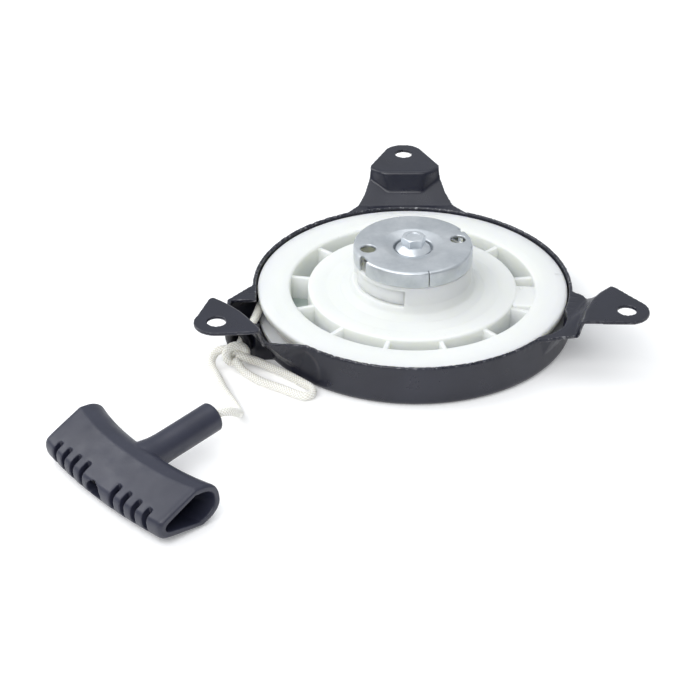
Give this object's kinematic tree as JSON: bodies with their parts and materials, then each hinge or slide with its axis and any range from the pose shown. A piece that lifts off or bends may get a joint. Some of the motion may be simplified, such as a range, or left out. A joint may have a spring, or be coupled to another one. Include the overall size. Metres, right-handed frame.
{
  "type": "recoil starter",
  "caption": "Engine recoil starter: stamped dish housing with mounting ears, rope reel on a centre post, pawls, ratchet guide, recoil spring, pull rope and T-shaped handle.",
  "frame": {"origin": "on the reel's axis, at the underside of the housing's floor", "axes": "+Z along the reel's axis toward the engine side with the ears' pads, +Y toward one ear, the rope leaves toward -Y on the -X side"},
  "size_m": [0.2585, 0.2898, 0.0437],
  "materials": {
    "black_paint": "satin black paint on stamped steel, worn to bare metal along its cut edges",
    "black_bush": "moulded black nylon",
    "galvanised": "dull galvanised sheet with a green-grey cast",
    "steel": "machined steel",
    "spring_steel": "oiled spring steel",
    "white_nylon": "natural white nylon with a soft sheen",
    "zinc_plate": "bright zinc plate over pressed steel",
    "white_rope": "braided white nylon rope",
    "handle_plastic": "matte blue-black moulded plastic"
  },
  "bodies": {
    "frame": {"housing": "black_paint", "outlet_bush": "black_bush", "spring_plate": "galvanised", "center_post": "steel", "recoil_spring": "spring_steel", "spring_inner_hook": "spring_steel", "thrust_washer": "zinc_plate", "guide_collar": "steel", "center_bolt": "zinc_plate", "rope_run": "white_rope"},
    "reel": {"reel": "white_nylon", "rope_winding": "white_rope", "rope_anchor_knot": "white_rope", "pawl_pin_front": "steel", "pawl_spring_front": "spring_steel", "pawl_pin_back": "steel", "pawl_spring_back": "spring_steel"},
    "guide": {"ratchet_guide": "zinc_plate", "friction_spring": "spring_steel"},
    "pawl_a": {"pawl_front": "white_nylon"},
    "pawl_b": {"pawl_back": "white_nylon"},
    "pull": {"handle": "handle_plastic", "handle_washer": "zinc_plate", "handle_knot": "white_rope", "rope_tail": "white_rope", "rope_loop": "white_rope", "slip_knot": "white_rope"}
  },
  "joints": [
    {"name": "reel_spin", "type": "hinge", "parent": "frame", "child": "reel", "pos_m": [0, 0, 0.01], "axis": [0, 0, 1], "range_deg": [0, 1000], "stiffness_Nm_per_rad": 0.02, "springref_deg": -1080.03},
    {"name": "guide_turn", "type": "hinge", "parent": "reel", "child": "guide", "pos_m": [0, 0, 0.035], "axis": [0, 0, 1], "range_deg": [-30, 0]},
    {"name": "pawl_front_swing", "type": "hinge", "parent": "reel", "child": "pawl_a", "pos_m": [-0.01783, 0.0025, 0.025], "axis": [0, 0, 1], "range_deg": [-30, 0]},
    {"name": "pawl_back_swing", "type": "hinge", "parent": "reel", "child": "pawl_b", "pos_m": [0.01783, -0.0025, 0.025], "axis": [0, 0, 1], "range_deg": [-30, 0]},
    {"name": "handle_pull", "type": "slide", "parent": "frame", "child": "pull", "axis": [-0.21, -0.9777, 0], "range_m": [0, 1.18]}
  ],
  "couplings": [
    {"joint": "handle_pull", "follows": "reel_spin", "m_per_rad": 0.0672},
    {"joint": "pawl_front_swing", "follows": "guide_turn", "ratio": 1},
    {"joint": "pawl_back_swing", "follows": "guide_turn", "ratio": 1}
  ]
}
